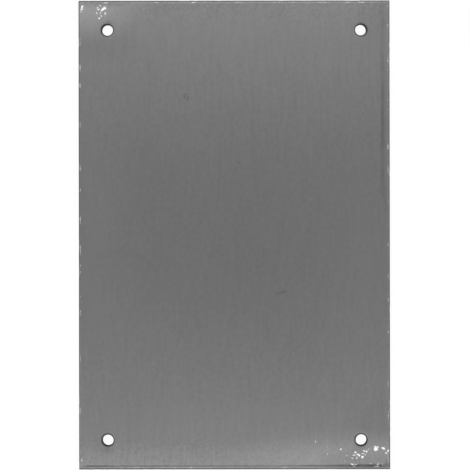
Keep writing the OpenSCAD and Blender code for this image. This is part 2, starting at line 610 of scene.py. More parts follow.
def edge_dashes(sizes):
    """Every dash on the edges as a spot."""
    left = -sizes.width / 2
    right = sizes.width / 2
    front = -sizes.length / 2
    back = sizes.length / 2
    spots = []
    for dashes, across in ((DASHES_LEFT, left + DASH_INSET_LEFT), (DASHES_RIGHT, right - DASH_INSET_RIGHT)):
        for dash in dashes:
            spots.append(Spot(across, back - dash.along * MM, dash.long * MM, DASH_WIDTH, 90, dash.bright))
    for dashes, along in ((DASHES_BACK, back - DASH_INSET_END), (DASHES_FRONT, front + DASH_INSET_END)):
        for dash in dashes:
            spots.append(Spot(left + dash.along * MM, along, dash.long * MM, DASH_WIDTH, 0, dash.bright))
    return spots


def dark_marks():
    """Every dark mark as a spot."""
    return [
        Spot(mark.across * MM, mark.along * MM, mark.long * MM, mark.wide * MM, mark.turn, mark.dark)
        for mark in MARKS
    ]


def turned(x, y, turn):
    """A place in plan, measured along and across a direction that turns from the plate's width."""
    angle = math.radians(turn)
    return x * math.cos(angle) + y * math.sin(angle), y * math.cos(angle) - x * math.sin(angle)


def turned_plan(tree, position, turn):
    """The same as turned, in nodes."""
    angle = math.radians(turn)
    forward = combine(tree, "DOT_PRODUCT", position, (math.cos(angle), math.sin(angle), 0.0))
    sideways = combine(tree, "DOT_PRODUCT", position, (-math.sin(angle), math.cos(angle), 0.0))
    return add_node(tree, "ShaderNodeCombineXYZ", {"X": forward, "Y": sideways}).outputs[0]


def spot_mask(tree, plan, spot, fade):
    """How strongly one spot shows on a plan that is turned to suit it. It fades out at fade radii."""
    core = 0.35
    forward, sideways = turned(spot.across, spot.along, spot.turn)
    size = (2 / spot.long, 2 / spot.wide, 0.0)
    shift = (-forward * size[0], -sideways * size[1], 0.0)
    return ramp(tree, oval_reach(tree, plan, size, shift), fade, core, 0.0, spot.strength)


def spots_group(name, spots, fade, rag, thinnest):
    """Spots given one by one, with outlines that are ragged by up to rag. Those of one turn are made
    together.

    They are uneven inside, and their thinnest places keep the share thinnest of their strength."""
    rag_frequency = 800.0
    uneven_frequency = (1000, 1000, 1000)
    thin = 0.3
    full = 0.6
    tree, given, out = new_group(name, "ShaderNodeTree", (("Position", VECTOR, None),), (("Mask", NUMBER),))
    inputs = {"Vector": given["Position"], "Scale": rag_frequency, "Detail": 2.0}
    ragged = add_node(tree, "ShaderNodeTexNoise", inputs).outputs["Color"]
    shifted = combine(tree, "SUBTRACT", ragged, (0.5, 0.5, 0.5))
    moved = combine(tree, "MULTIPLY", shifted, (2 * rag, 2 * rag, 0.0))
    position = combine(tree, "ADD", given["Position"], moved)
    mask = 0.0
    for turn in sorted({spot.turn for spot in spots}):
        plan = turned_plan(tree, position, turn)
        for spot in spots:
            if spot.turn == turn:
                mask = calculate(tree, "MAXIMUM", spot_mask(tree, plan, spot, fade), mask)
    uneven = noise(tree, given["Position"], uneven_frequency, seed=6.0, detail=1.0)
    mask = calculate(tree, "MULTIPLY", mask, ramp(tree, uneven, thin, full, thinnest, 1.0))
    set_inputs(tree, out, {"Mask": mask})
    return tree


def smooth_step(share):
    """0 for a share up to 0, 1 for a share from 1 on, and a smooth rise between."""
    share = min(max(share, 0.0), 1.0)
    return share * share * (3 - 2 * share)


def smooth_bell(distance, half_width):
    """1 at no distance, falling smoothly to 0 at half_width."""
    share = min(abs(distance) / half_width, 1.0)
    return (1 - share * share) ** 2


def roll_drop(reach, width, depth):
    """How far a roll-over has fallen where it has run for reach, out of its width and depth."""
    if reach <= 0:
        return 0.0
    radius = (width * width + depth * depth) / (2 * depth)
    return radius - math.sqrt(radius * radius - min(reach, width) ** 2)


def dip_drop(x, y, sizes):
    """How far the strip along the right edge has dipped. It runs level with the edge, then out to it."""
    lean = math.atan2(sizes.dip_width, sizes.dip_run_out)
    past_edge = x - sizes.width / 2
    past_end = y - sizes.length / 2 + sizes.dip_length
    past_strip = past_edge + sizes.dip_width
    past_run_out = past_edge * math.cos(lean) + past_end * math.sin(lean)
    return max(min(past_strip, past_run_out), 0.0) * sizes.dip_depth / sizes.dip_width


def dish_drop(x, y, sizes, finish):
    """How far the face is drawn down round the nearest hole."""
    across = abs(x) - sizes.hole_across / 2
    along = abs(y) - sizes.hole_along / 2
    mouth = sizes.hole_radius + sizes.hole_break
    reach = mouth + finish.dish_width - math.hypot(across, along)
    return roll_drop(reach, finish.dish_width, finish.dish_depth)


def side_crease_inset(y, finish):
    """How far the right-hand pressed line lies in from its edge: level at first, then running out."""
    share = (y - SIDE_CREASE_OUT) / (SIDE_CREASE_LEVEL - SIDE_CREASE_OUT)
    return finish.side_crease * smooth_step(share)


def dent_drop(x, y, finish, spots):
    """How far the dents at the flecks and the dashes go down."""
    drop = 0.0
    for spot in spots:
        right = x - spot.across
        up = y - spot.along
        if abs(right) < spot.long and abs(up) < spot.long:
            forward, sideways = turned(right, up, spot.turn)
            reach = math.hypot(2 * forward / spot.long, 2 * sideways / spot.wide)
            drop += finish.fleck_depth * spot.strength * smooth_bell(reach, 1.0)
    return drop


def upper_height(x, y, sizes, finish, spots):
    """Height of the upper face: flat, rolled over at its edges, with pressed lines and dents."""
    half_width = sizes.width / 2
    half_length = sizes.length / 2
    edge_width = sizes.edge_roll_width
    edge_depth = sizes.edge_roll_depth
    front_width = sizes.front_roll_width
    drop = max(
        roll_drop(abs(x) - half_width + edge_width, edge_width, edge_depth),
        roll_drop(y - half_length + edge_width, edge_width, edge_depth),
        roll_drop(-y - half_length + front_width, front_width, sizes.front_roll_depth),
        dip_drop(x, y, sizes),
    )
    from_front_crease = y + half_length - finish.front_crease
    from_side_crease = half_width - x - side_crease_inset(y, finish)
    drop += dish_drop(x, y, sizes, finish)
    drop += finish.crease_depth * smooth_bell(from_front_crease, FRONT_CREASE_HALF)
    drop += finish.crease_depth * smooth_bell(from_side_crease, SIDE_CREASE_HALF)
    drop += dent_drop(x, y, finish, spots)
    return sizes.thickness - drop


def even_steps(start, stop, count):
    """Places from start up to, but not with, stop."""
    return [start + (stop - start) * index / count for index in range(count)]


def mesh_lines(half, low_roll, low_steps, high_roll, high_steps, hole):
    """Places of the mesh's lines along one axis, close together at the edges and the holes."""
    inner = hole - HOLE_SQUARE
    outer = hole + HOLE_SQUARE
    lines = even_steps(-half, -half + low_roll, low_steps)
    lines += even_steps(-half + low_roll, -outer, math.ceil((half - low_roll - outer) / EDGE_STEP))
    lines += even_steps(-outer, -inner, HOLE_CELLS)
    lines += even_steps(-inner, inner, math.ceil(2 * inner / OPEN_STEP))
    lines += even_steps(inner, outer, HOLE_CELLS)
    lines += even_steps(outer, half - high_roll, math.ceil((half - high_roll - outer) / EDGE_STEP))
    lines += even_steps(half - high_roll, half, high_steps)
    return lines + [half]


def ring_faces(outer, inner):
    """The corners of each face between two rings of as many points."""
    count = len(outer)
    for index in range(count):
        after = (index + 1) % count
        yield [outer[index], outer[after], inner[after], inner[index]]


# Where a part of the surface lies on the map: its lowest corner, and map units per metre
Chart = namedtuple("Chart", "across up scale")


def map_charts(sizes):
    """The upper face takes most of the map, with the edges above it and the underside and holes beside it."""
    sides = ("front", "right", "back", "left")
    strip = 0.021
    # A hole's wall and its two breaks are a little longer than the plate is thick
    wall_room = 1.3
    scale = (1 - 3 * MAP_GAP - len(sides) * strip) / sizes.length
    charts = {"upper_face": Chart(MAP_GAP, MAP_GAP, scale)}
    for index, side in enumerate(sides):
        charts[side] = Chart(MAP_GAP, 1 - (index + 1) * strip, scale)
    beside = 2 * MAP_GAP + sizes.width * scale
    room = 1 - beside - MAP_GAP
    under_scale = room / sizes.width
    charts["under_face"] = Chart(beside, MAP_GAP, under_scale)
    wall_up = 3 * MAP_GAP + sizes.length * under_scale
    wall_round = 2 * math.pi * (sizes.hole_radius + sizes.hole_break)
    wall_scale = (room - 2 * MAP_GAP) / 2 / wall_round
    wall_high = sizes.thickness * wall_room * wall_scale
    for index in range(4):
        across = beside + (index % 2) * room / 2
        up = wall_up + (index // 2) * (wall_high + MAP_GAP)
        charts[f"hole_{index}"] = Chart(across, up, wall_scale)
    return charts


class PlateMesh:
    """Points, faces, finish zones and map places of the plate's mesh, as they are made."""

    def __init__(self, sizes, finish):
        self.sizes = sizes
        self.finish = finish
        self.spots = corner_flecks(sizes) + edge_dashes(sizes)
        self.charts = map_charts(sizes)
        self.points = []
        self.faces = []
        self.zones = []
        self.places = []
        self.above = {}
        self.below = {}
        edge = sizes.edge_roll_width
        front = sizes.front_roll_width
        self.across = mesh_lines(sizes.width / 2, edge, ROLL_STEPS, edge, ROLL_STEPS, sizes.hole_across / 2)
        self.along = mesh_lines(
            sizes.length / 2, front, FRONT_ROLL_STEPS, edge, ROLL_STEPS, sizes.hole_along / 2
        )

    def point(self, x, y, z):
        """Add a point and give its number."""
        self.points.append((x, y, z))
        return len(self.points) - 1

    def upper_point(self, x, y):
        """Add a point of the upper face and give its number."""
        return self.point(x, y, upper_height(x, y, self.sizes, self.finish, self.spots))

    def face(self, corners, zone, chart, places):
        """Add a face with the place of each of its corners on the map."""
        across, up, scale = self.charts[chart]
        self.faces.append(corners)
        self.zones.append(ZONES.index(zone))
        self.places.append([(across + a * scale, up + b * scale) for a, b in places])

    def flat_face(self, corners, zone):
        """Add a face of the upper or under face, mapped as seen from straight outside it."""
        turn = 1 if zone == "upper_face" else -1
        places = []
        for corner in corners:
            x, y, _ = self.points[corner]
            places.append((x + self.sizes.width / 2, turn * y + self.sizes.length / 2))
        self.face(corners, zone, zone, places)

    def foot(self, place, half):
        """Where a line of the mesh meets the underside, drawn in near the edge by the fracture's lean."""
        fade = 10 * MM
        share = (abs(place) - half + fade) / fade
        return place - math.copysign(self.sizes.fracture_lean * smooth_step(share), place)

    def in_hole_square(self, x, y):
        """Whether a place lies inside the square of mesh round a hole, and not on the square's outline."""
        inside = 0.999 * HOLE_SQUARE
        near_across = abs(abs(x) - self.sizes.hole_across / 2) < inside
        return near_across and abs(abs(y) - self.sizes.hole_along / 2) < inside

    def grid_points(self):
        """Points at every crossing of the mesh's lines, above and below, but for those in a hole's square."""
        for i, x in enumerate(self.across):
            for j, y in enumerate(self.along):
                if not self.in_hole_square(x, y):
                    foot_x = self.foot(x, self.sizes.width / 2)
                    foot_y = self.foot(y, self.sizes.length / 2)
                    self.above[i, j] = self.upper_point(x, y)
                    self.below[i, j] = self.point(foot_x, foot_y, 0.0)

    def flat_faces(self):
        """The upper and under faces, with a square left open round each hole."""
        for i, (left, right) in enumerate(zip(self.across, self.across[1:])):
            for j, (front, back) in enumerate(zip(self.along, self.along[1:])):
                if not self.in_hole_square((left + right) / 2, (front + back) / 2):
                    around = ((i, j), (i + 1, j), (i + 1, j + 1), (i, j + 1))
                    self.flat_face([self.above[key] for key in around], "upper_face")
                    self.flat_face([self.below[key] for key in reversed(around)], "under_face")

    def sheared_edges(self):
        """The four edges, from the roll-over down through the smooth cut and the fracture."""
        last_i = len(self.across) - 1
        last_j = len(self.along) - 1
        runs = {
            "front": [(i, 0) for i in range(last_i + 1)],
            "right": [(last_i, j) for j in range(last_j + 1)],
            "back": [(i, last_j) for i in range(last_i, -1, -1)],
            "left": [(0, j) for j in range(last_j, -1, -1)],
        }
        keys = dict.fromkeys(key for run in runs.values() for key in run)
        columns = {key: self.edge_column(key) for key in keys}
        for side, run in runs.items():
            start = 0.0
            for first, second in zip(run, run[1:]):
                first_place = self.points[self.above[first]][:2]
                second_place = self.points[self.above[second]][:2]
                stop = start + math.dist(first_place, second_place)
                for high in range(LAND_STEPS + FRACTURE_STEPS):
                    low = high + 1
                    corners = [columns[first][low], columns[second][low]]
                    corners += [columns[second][high], columns[first][high]]
                    places = [
                        (along, self.points[corner][2])
                        for along, corner in zip((start, stop, stop, start), corners)
                    ]
                    self.face(corners, "sheared_edge", side, places)
                start = stop

    def edge_column(self, key):
        """The points of one column of an edge, from the upper face's outline down to the underside's."""
        x, y, z = self.points[self.above[key]]
        foot_x, foot_y, _ = self.points[self.below[key]]
        fracture = self.sizes.fracture_height
        column = [self.above[key]]
        for step in range(1, LAND_STEPS + 1):
            column.append(self.point(x, y, z + (fracture - z) * step / LAND_STEPS))
        for step in range(1, FRACTURE_STEPS):
            share = step / FRACTURE_STEPS
            in_x = x + (foot_x - x) * share
            in_y = y + (foot_y - y) * share
            column.append(self.point(in_x, in_y, fracture * (1 - share)))
        return column + [self.below[key]]

    def holes(self):
        """The four drilled holes."""
        centres = [(side, end) for end in (-1, 1) for side in (-1, 1)]
        for index, (side, end) in enumerate(centres):
            self.hole(f"hole_{index}", side * self.sizes.hole_across / 2, end * self.sizes.hole_along / 2)

    def hole(self, chart, centre_x, centre_y):
        """One drilled hole: rings of mesh from its square in to both mouths, and the wall between them."""
        square = self.square_outline(centre_x, centre_y)
        ways = []
        for i, j in square:
            angle = math.atan2(self.along[j] - centre_y, self.across[i] - centre_x)
            ways.append((math.cos(angle), math.sin(angle)))

        def circle(radius):
            """Places round the hole, one for each point of its square."""
            return [(centre_x + radius * right, centre_y + radius * back) for right, back in ways]

        mouth = circle(self.sizes.hole_radius + self.sizes.hole_break)
        upper = self.mouth_rings([self.above[key] for key in square], mouth)
        under = self.mouth_rings([self.below[key] for key in square], mouth)
        for rings, zone, order in ((upper, "upper_face", 1), (under, "under_face", -1)):
            for outer, inner in zip(rings, rings[1:]):
                for corners in ring_faces(outer, inner):
                    self.flat_face(corners[::order], zone)
        self.hole_wall(chart, circle(self.sizes.hole_radius), upper[-1], under[-1])

    def square_outline(self, centre_x, centre_y):
        """Crossings of the mesh's lines round a hole's square, anticlockwise from its front left corner."""
        i = min(range(len(self.across)), key=lambda line: abs(self.across[line] - centre_x + HOLE_SQUARE))
        j = min(range(len(self.along)), key=lambda line: abs(self.along[line] - centre_y + HOLE_SQUARE))
        steps = range(HOLE_CELLS)
        outline = [(i + step, j) for step in steps]
        outline += [(i + HOLE_CELLS, j + step) for step in steps]
        outline += [(i + HOLE_CELLS - step, j + HOLE_CELLS) for step in steps]
        outline += [(i, j + HOLE_CELLS - step) for step in steps]
        return outline

    def mouth_rings(self, square, mouth):
        """Rings of points from a hole's square, which is the first of them, in to its mouth."""
        rings = [square]
        for share in RING_SHARES:
            ring = []
            for corner, (mouth_x, mouth_y) in zip(square, mouth):
                x, y, z = self.points[corner]
                in_x = mouth_x + (x - mouth_x) * share
                in_y = mouth_y + (y - mouth_y) * share
                ring.append(self.upper_point(in_x, in_y) if z > 0 else self.point(in_x, in_y, z))
            rings.append(ring)
        return rings

    def hole_wall(self, chart, circle, upper_mouth, under_mouth):
        """The wall of a hole and the breaks at both of its mouths."""
        sizes = self.sizes
        wall_high = sizes.thickness - sizes.hole_break
        wall_long = wall_high - sizes.hole_break
        slope = sizes.hole_break * math.sqrt(2)
        bands = [upper_mouth]
        depths = [0.0]
        for step in range(WALL_STEPS + 1):
            down = wall_long * step / WALL_STEPS
            bands.append([self.point(x, y, wall_high - down) for x, y in circle])
            depths.append(slope + down)
        bands.append(under_mouth)
        depths.append(depths[-1] + slope)
        step_round = 2 * math.pi * (sizes.hole_radius + sizes.hole_break) / len(circle)
        for band in range(len(bands) - 1):
            start = depths[band]
            stop = depths[band + 1]
            for index, corners in enumerate(ring_faces(bands[band], bands[band + 1])):
                near = index * step_round
                far = near + step_round
                places = [(near, start), (far, start), (far, stop), (near, stop)]
                self.face(corners, "drilled_wall", chart, places)

    def finished(self):
        """The mesh, closed, with its zones, its map and its sharp edges."""
        self.grid_points()
        self.flat_faces()
        self.sheared_edges()
        self.holes()
        mesh = bpy.data.meshes.new("plate_blank")
        mesh.from_pydata(self.points, [], self.faces)
        mesh.attributes.new("zone", "INT", "FACE").data.foreach_set("value", self.zones)
        map_numbers = [number for places in self.places for place in places for number in place]
        mesh.uv_layers.new(name=MAP_NAME).data.foreach_set("uv", map_numbers)
        shape = bmesh.new()
        shape.from_mesh(mesh)
        for face in shape.faces:
            face.smooth = True
        for edge in shape.edges:
            if not edge.is_manifold:
                raise RuntimeError("the plate's mesh isn't closed")
            edge.smooth = edge.calc_face_angle() < SHARP_ANGLE
        if shape.calc_volume(signed=True) < 0:
            raise RuntimeError("the plate's mesh is inside out")
        shape.to_mesh(mesh)
        shape.free()
        return mesh


def relief_tree(sizes, materials):
    """Random relief of the plate: nicks on the upper arris, a rough fracture and slow waves in the faces."""
    tree, given, out = new_group(
        "Plate relief",
        "GeometryNodeTree",
        (
            ("Geometry", SHAPE, None),
            ("Nick depth", NUMBER, 0.0),
            ("Fracture depth", NUMBER, 0.0),
            ("Wave depth", NUMBER, 0.0),
            ("Seed", NUMBER, 0.0),
        ),
        (("Geometry", SHAPE),),
    )
    position = add_node(tree, "GeometryNodeInputPosition").outputs[0]
    normal = add_node(tree, "GeometryNodeInputNormal").outputs[0]
    height = split(tree, position)[2]
    inset = outline_distance(tree, position, sizes)

    nicks = arris_nicks(tree, position, inset, sizes, NICK_WIDTH, given["Seed"])
    nicks = calculate(tree, "MULTIPLY", nicks, given["Nick depth"])

    edge_reach = 0.5 * MM
    edge_full = 0.3 * MM
    fade_down = 0.5 * MM
    floor_clear = 0.2 * MM
    on_edge = ramp(tree, inset, edge_reach, edge_full)
    low = ramp(tree, height, sizes.fracture_height, sizes.fracture_height - fade_down)
    off_floor = ramp(tree, height, 0.0, floor_clear)
    torn = noise(tree, position, FRACTURE_GRAIN, given["Seed"], detail=3.0, roughness=0.6)
    torn = calculate(tree, "MULTIPLY", torn, given["Fracture depth"])
    fracture = calculate(tree, "MULTIPLY", on_edge, low, off_floor, torn)

    sloping = 0.9
    level = 0.99
    on_top = ramp(tree, split(tree, normal)[2], sloping, level)
    waves = noise(tree, position, FACE_WAVES, given["Seed"], detail=1.0)
    waves = calculate(tree, "MULTIPLY", on_top, waves, given["Wave depth"])

    depth = calculate(tree, "ADD", nicks, fracture, waves)
    push = scaled(tree, normal, calculate(tree, "MULTIPLY", depth, -1.0))
    moved = add_node(tree, "GeometryNodeSetPosition", {"Geometry": given["Geometry"], "Offset": push})
    shape = add_node(tree, "GeometryNodeRealizeInstances", {"Geometry": moved.outputs["Geometry"]})
    zone = add_node(tree, "GeometryNodeInputNamedAttribute", {"Name": "zone"}, data_type="INT")
    for index, name in enumerate(ZONES):
        inputs = {2: zone.outputs["Attribute"], 3: index}
        here = add_node(tree, "FunctionNodeCompare", inputs, data_type="INT", operation="EQUAL")
        shape = add_node(tree, "GeometryNodeSetMaterial", {
            "Geometry": shape.outputs["Geometry"],
            "Selection": here.outputs[0],
            "Material": materials[name],
        })
    set_inputs(tree, out, {"Geometry": shape.outputs["Geometry"]})
    return tree


def with_alpha(colour):
    """A colour as a node socket takes it."""
    return (*colour, 1.0)


def new_material(name):
    """A material without nodes, and its node tree."""
    material = bpy.data.materials.new(name)
    material.use_nodes = True
    material.node_tree.nodes.clear()
    return material, material.node_tree


def piece_position(tree):
    """The place on the piece that the patterns read."""
    return add_node(tree, "ShaderNodeTexCoord").outputs["Object"]


def place_group(tree, group, inputs):
    """Put a shared node group into a material."""
    return add_node(tree, "ShaderNodeGroup", inputs, node_tree=group).outputs


def add_surface(tree, inputs):
    """The material's shader, with its inputs."""
    shader = add_node(tree, "ShaderNodeBsdfPrincipled", inputs)
    add_node(tree, "ShaderNodeOutputMaterial", {"Surface": shader.outputs[0]})


def brushed_tangent(tree):
    """The direction across the grain, along which brushing stretches reflections."""
    return add_node(tree, "ShaderNodeTangent", direction_type="UV_MAP", uv_map=MAP_NAME).outputs[0]


def bump(tree, height, distance):
    """A normal that is roughened by a height."""
    inputs = {"Height": height, "Strength": 1.0, "Distance": distance}
    return add_node(tree, "ShaderNodeBump", inputs).outputs["Normal"]


def painted_sheen(tree, position, sizes):
    """Painted sheen and shade: how far the face is painted lighter or duller, in patches, and lighter in a
    strip along the front.
    """
    core = 0.15
    from_front = calculate(tree, "ADD", split(tree, position)[1], sizes.length / 2)
    mask = ramp(tree, from_front, FRONT_SHEEN_REACH, FRONT_SHEEN_FULL, 0.0, FRONT_SHEEN_BRIGHT)
    for patch in PATCHES:
        size = (1 / (patch.reach_across * MM), 1 / (patch.reach_along * MM), 0.0)
        shift = (-patch.across / patch.reach_across, -patch.along / patch.reach_along, 0.0)
        reach = oval_reach(tree, position, size, shift)
        mask = calculate(tree, "ADD", mask, ramp(tree, reach, 1.0, core, 0.0, patch.bright))
    return mask


def end_scuffs(tree, position, sizes):
    """Fine mottling of the face near its ends, the most at the front, as a change of tone."""
    front_reach = 34 * MM
    front_full = 6 * MM
    back_reach = 26 * MM
    back_full = 4 * MM
    back_share = 0.85
    y = split(tree, position)[1]
    half = sizes.length / 2
    front = ramp(tree, y, front_reach - half, front_full - half)
    back = ramp(tree, y, half - back_reach, half - back_full, 0.0, back_share)
    mottle = noise(tree, position, END_MOTTLE, seed=9.0, detail=2.0, roughness=0.75)
    mottle = spread(tree, mottle, -MOTTLE_TONE, MOTTLE_TONE)
    return calculate(tree, "MULTIPLY", mottle, calculate(tree, "ADD", front, back))


def hole_shade(tree, position, sizes):
    """Painted shade round the mouth of every hole, uneven because each ring lies a little off its hole's
    centre.
    """
    past_mouth = 0.65 * MM
    within_mouth = 0.05 * MM
    dark = 0.8
    mouth = sizes.hole_radius + sizes.hole_break
    away = sizes.length
    for ring in RINGS:
        across = ring.side * sizes.hole_across / 2 + ring.across * MM
        along = ring.end * sizes.hole_along / 2 + ring.along * MM
        reach = oval_reach(tree, position, (1.0, 1.0, 0.0), (-across, -along, 0.0))
        away = calculate(tree, "MINIMUM", reach, away)
    return ramp(tree, away, mouth + past_mouth, mouth - within_mouth, 0.0, dark)


def crease_line(tree, from_line, reach, core):
    """How strongly a pressed line shows: fully within the share core of its reach, and not past its reach."""
    share = calculate(tree, "DIVIDE", calculate(tree, "ABSOLUTE", from_line), reach)
    return ramp(tree, share, 1.0, core)


def front_crease_shade(tree, position, sizes, finish):
    """Painted shade in the pressed line along the front edge: uneven, darker at both ends, widest at the
    right.
    """
    narrow = 0.9 * MM
    wide = 1.6 * MM
    left_clear = 2.5 * MM
    left_full = 5 * MM
    right_full = 7 * MM
    right_faded = 3 * MM
    x, y, _ = split(tree, position)
    half = sizes.width / 2
    from_line = calculate(tree, "ADD", y, sizes.length / 2 - finish.front_crease)
    reach = ramp(tree, x, 0.5 * half, 0.9 * half, narrow, wide)
    line = crease_line(tree, from_line, reach, core=0.2)
    starts = ramp(tree, x, left_clear - half, left_full - half)
    right = ramp(tree, x, 0.25 * half, 0.85 * half, 0.45, 1.0)
    left = ramp(tree, x, -0.6 * half, -0.9 * half, 0.0, 0.75)
    stronger = calculate(tree, "MAXIMUM", right, left)
    uneven = spread(tree, noise(tree, position, FRONT_SHADE_STEPS, seed=8.0), 0.8, 1.15, reach=0.2)
    corner = ramp(tree, x, half - right_full, half - right_faded, 1.0, 0.7)
    return calculate(tree, "MULTIPLY", line, starts, stronger, uneven, corner)


def side_crease_shade(tree, position, sizes, finish):
    """Painted shade in the pressed line along the back half of the right edge: patchy, and of uneven width.
    """
    narrow = 1.6 * MM
    wide = 2.8 * MM
    clear_at = 5 * MM
    full_from = 50 * MM
    full_to = 95 * MM
    faint_from = 125 * MM
    x, y, _ = split(tree, position)
    inset = ramp(tree, y, SIDE_CREASE_OUT, SIDE_CREASE_LEVEL, 0.0, finish.side_crease)
    from_line = calculate(tree, "ADD", calculate(tree, "SUBTRACT", x, sizes.width / 2), inset)
    widths = noise(tree, position, SIDE_SHADE_WIDTHS, seed=5.0, detail=1.0)
    line = crease_line(tree, from_line, spread(tree, widths, narrow, wide, reach=0.2), core=0.1)
    starts = ramp(tree, y, clear_at, full_from)
    fainter_back = ramp(tree, y, faint_from, full_to, 0.6, 1.0)
    patchy = spread(tree, noise(tree, position, SIDE_SHADE_PATCHES, seed=4.0), 0.18, 0.45, reach=0.18)
    return calculate(tree, "MULTIPLY", line, starts, fainter_back, patchy)


def face_grime_and_shade(tree, position, sizes, finish, groups):
    """All of the upper face's painted shade and dark marks: painted shade in its pressed lines and round its
    holes, and its dark marks.
    """
    mark_share = 0.65
    marks = place_group(tree, groups["marks"], {"Position": position})["Mask"]
    return calculate(
        tree,
        "MAXIMUM",
        front_crease_shade(tree, position, sizes, finish),
        side_crease_shade(tree, position, sizes, finish),
        hole_shade(tree, position, sizes),
        calculate(tree, "MULTIPLY", marks, mark_share),
    )


def brushed_material(name, sizes, finish, groups, seen):
    """Dull brushed steel, painted darker along its outline as shade. The seen face also has the flecks,
    marks, painted sheen and shade, and painted shade in its creases and round its holes.
    """
    roughness_change = 0.04
    fleck_roughness = 0.45
    hairline_relief = 0.3
    relief_depth = 0.004 * MM
    material, tree = new_material(name)
    position = piece_position(tree)
    grain = place_group(
        tree, groups["grain"], {"Position": position, "Fine": FACE_LINES, "Broad": FACE_STREAKS}
    )
    hairlines = noise(tree, position, FACE_HAIRLINES, seed=10.0, detail=1.0)
    blotches = noise(tree, position, FACE_BLOTCHES, seed=3.0, detail=3.0)
    wear = place_group(tree, groups["wear"], {"Position": position, "Width": WEAR_WIDTH})
    lines = calculate(
        tree,
        "ADD",
        spread(tree, grain["Lines"], -LINE_TONE, LINE_TONE),
        spread(tree, grain["Streaks"], -STREAK_TONE, STREAK_TONE),
        spread(tree, hairlines, -HAIRLINE_TONE, HAIRLINE_TONE),
    )
    from_middle = calculate(tree, "ABSOLUTE", split(tree, position)[1])
    stronger = ramp(tree, from_middle, FAINT_REACH, STRONG_REACH, FAINT_LINES, STRONG_LINES)
    tone = calculate(
        tree,
        "ADD",
        calculate(tree, "MULTIPLY", lines, stronger),
        1.0,
        spread(tree, blotches, -BLOTCH_TONE, BLOTCH_TONE, reach=0.25),
        end_scuffs(tree, position, sizes),
    )
    colour = scaled(tree, finish.steel, tone)
    smoothest = finish.roughness - roughness_change
    rough = spread(tree, grain["Lines"], smoothest, finish.roughness + roughness_change)
    if seen:
        # Painted sheen and shade, in patches and along the front
        sheen_and_shade = painted_sheen(tree, position, sizes)
        colour = mix_colours(tree, sheen_and_shade, colour, with_alpha(finish.bright), beyond=True)
        # Painted shade in the pressed lines and round the holes, and the dark marks, darken the face
        grime_and_shade = face_grime_and_shade(tree, position, sizes, finish, groups)
        colour = mix_colours(tree, grime_and_shade, colour, with_alpha(finish.grime_and_shade))
    colour = mix_colours(tree, wear["Mask"], colour, with_alpha(finish.bright))
    if seen:
        # Flecks and edge dashes: bright scuffs, painted as bright as glints and highlights
        flecks = place_group(tree, groups["flecks"], {"Position": position})["Mask"]
        dashes = place_group(tree, groups["dashes"], {"Position": position})["Mask"]
        flecks = calculate(tree, "MAXIMUM", flecks, dashes)
        colour = mix_colours(tree, flecks, colour, with_alpha(finish.fleck))
        rough = mix_numbers(tree, flecks, rough, fleck_roughness)
    relief = calculate(tree, "ADD", grain["Lines"], calculate(tree, "MULTIPLY", hairlines, hairline_relief))
    # The base colour is painted darker along the outline, as shade at the edge
    add_surface(tree, {
        "Base Color": mix_colours(tree, wear["Outline shade"], colour, with_alpha(finish.grime_and_shade)),
        "Metallic": 1.0,
        "Roughness": rough,
        "Anisotropic": finish.brushing,
        "Tangent": brushed_tangent(tree),
        "Normal": bump(tree, relief, relief_depth),
    })
    return material


def sheared_material(finish, sizes, groups):
    """A sheared edge: a smooth cut with upright marks above, a dull torn fracture below."""
    cut_frequencies = {"Fine": (1400, 1400, 60), "Broad": (220, 220, 30)}
    torn_frequency = (1500, 1500, 1100)
    ragged_reach = 0.4 * MM
    border_half = 0.25 * MM
    torn_roughness = 0.62
    cut_roughness = 0.36
    cut_relief = 0.25
    relief_depth = 0.05 * MM
    material, tree = new_material("sheared_edge")
    position = piece_position(tree)
    marks = place_group(tree, groups["grain"], {"Position": position, **cut_frequencies})
    wear = place_group(tree, groups["wear"], {"Position": position, "Width": WEAR_WIDTH})["Mask"]
    torn = noise(tree, position, torn_frequency, seed=5.0, detail=4.0, roughness=0.65)
    ragged = spread(tree, marks["Streaks"], -ragged_reach, ragged_reach)
    height = calculate(tree, "ADD", split(tree, position)[2], ragged)
    cut = ramp(tree, height, sizes.fracture_height - border_half, sizes.fracture_height + border_half)
    cut_colour = scaled(tree, finish.steel, spread(tree, marks["Lines"], 0.9, 1.35))
    torn_colour = scaled(tree, finish.fracture, spread(tree, torn, 0.6, 1.35))
    colour = mix_colours(tree, cut, torn_colour, cut_colour)
    relief = mix_numbers(tree, cut, torn, calculate(tree, "MULTIPLY", marks["Lines"], cut_relief))
    add_surface(tree, {
        "Base Color": mix_colours(tree, wear, colour, with_alpha(finish.bright)),
        "Metallic": 1.0,
        "Roughness": mix_numbers(tree, cut, torn_roughness, cut_roughness),
        "Normal": bump(tree, relief, relief_depth),
    })
    return material


def drilled_material(finish, groups):
    """A drilled wall: painted near black as the shade inside the holes, with fine rings left by the drill."""
    ring_frequencies = {"Fine": (60, 60, 3500), "Broad": (200, 200, 500)}
    ring_depth = 0.02 * MM
    material, tree = new_material("drilled_wall")
    rings = place_group(tree, groups["grain"], {"Position": piece_position(tree), **ring_frequencies})
    add_surface(tree, {
        "Base Color": scaled(tree, finish.drilled, spread(tree, rings["Lines"], 0.6, 1.5)),
        "Metallic": 0.0,
        "Specular IOR Level": 0.15,
        "Roughness": spread(tree, rings["Streaks"], 0.6, 0.85),
        "Normal": bump(tree, rings["Lines"], ring_depth),
    })
    return material


def plain_mesh(carrier, name):
    """The evaluated shape of an object as a mesh of its own, with the object taken away."""
    evaluated = carrier.evaluated_get(bpy.context.evaluated_depsgraph_get())
    mesh = bpy.data.meshes.new_from_object(evaluated)
    mesh.name = name
    bpy.data.objects.remove(carrier)
    return mesh


